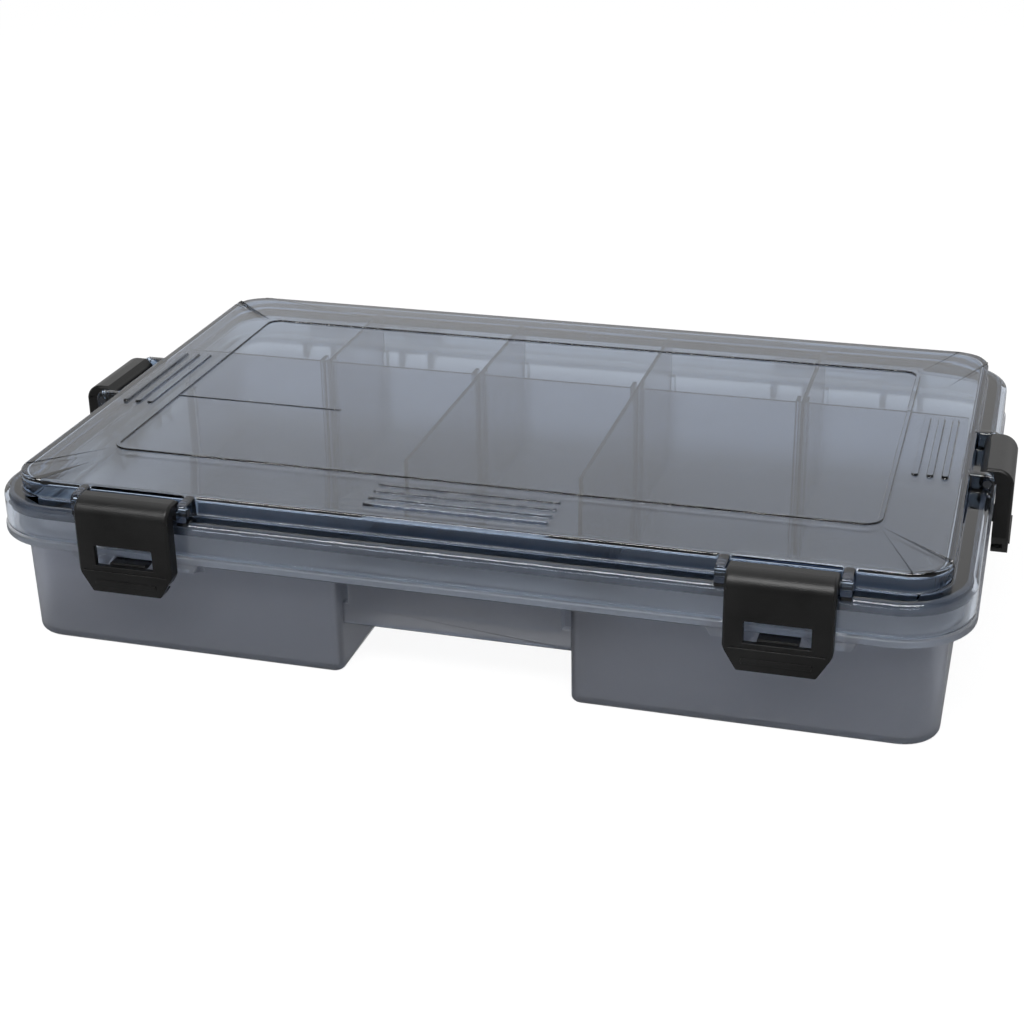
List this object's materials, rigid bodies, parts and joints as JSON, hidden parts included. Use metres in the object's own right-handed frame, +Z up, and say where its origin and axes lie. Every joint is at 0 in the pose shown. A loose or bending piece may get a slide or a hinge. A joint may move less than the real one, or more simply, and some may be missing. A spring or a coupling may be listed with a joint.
{
  "type": "tackle box",
  "caption": "Flat latched tackle box: translucent tub with handle notch, stepped hinged lid with seal, black cam latches and slotted dividers.",
  "frame": {"origin": "middle of the bounding box, on the surface the box stands on", "axes": "+X to the right along the long side, -Y is the front with the handle, +Z up"},
  "size_m": [0.3758, 0.2558, 0.0676],
  "materials": {
    "tub_plastic": "smoky translucent",
    "lid_plastic": "smoky translucent",
    "divider_plastic": "smoky translucent",
    "latch_plastic": "fine grain, satin",
    "seal_rubber": "satin",
    "pin_plastic": "plain",
    "pin_steel": "satin"
  },
  "bodies": {
    "base": {"base_tub": "tub_plastic", "hinge_pin_left": "pin_steel", "hinge_pin_right": "pin_steel", "long_divider": "divider_plastic", "back_divider_1": "divider_plastic", "back_divider_2": "divider_plastic", "back_divider_3": "divider_plastic", "back_divider_4": "divider_plastic", "front_divider_1": "divider_plastic", "front_divider_2": "divider_plastic"},
    "lid": {"lid": "lid_plastic", "lid_seal": "seal_rubber", "latch_pin_front_left": "pin_plastic", "latch_pin_front_right": "pin_plastic", "latch_pin_left": "pin_plastic", "latch_pin_right": "pin_plastic"},
    "latch_front_left": {"latch_front_left": "latch_plastic"},
    "latch_front_right": {"latch_front_right": "latch_plastic"},
    "latch_left": {"latch_left": "latch_plastic"},
    "latch_right": {"latch_right": "latch_plastic"}
  },
  "joints": [
    {"name": "lid_hinge", "type": "hinge", "parent": "base", "child": "lid", "pos_m": [0, 0.1243, 0.05], "axis": [-1, 0, 0], "range_deg": [0, 110]},
    {"name": "latch_front_left_hinge", "type": "hinge", "parent": "lid", "child": "latch_front_left", "pos_m": [-0.118, -0.118, 0.0625], "axis": [-1, 0, 0], "range_deg": [0, 100]},
    {"name": "latch_front_right_hinge", "type": "hinge", "parent": "lid", "child": "latch_front_right", "pos_m": [0.118, -0.118, 0.0625], "axis": [-1, 0, 0], "range_deg": [0, 100]},
    {"name": "latch_left_hinge", "type": "hinge", "parent": "lid", "child": "latch_left", "pos_m": [-0.178, 0, 0.0625], "axis": [0, 1, 0], "range_deg": [0, 100]},
    {"name": "latch_right_hinge", "type": "hinge", "parent": "lid", "child": "latch_right", "pos_m": [0.178, 0, 0.0625], "axis": [0, -1, 0], "range_deg": [0, 100]}
  ]
}
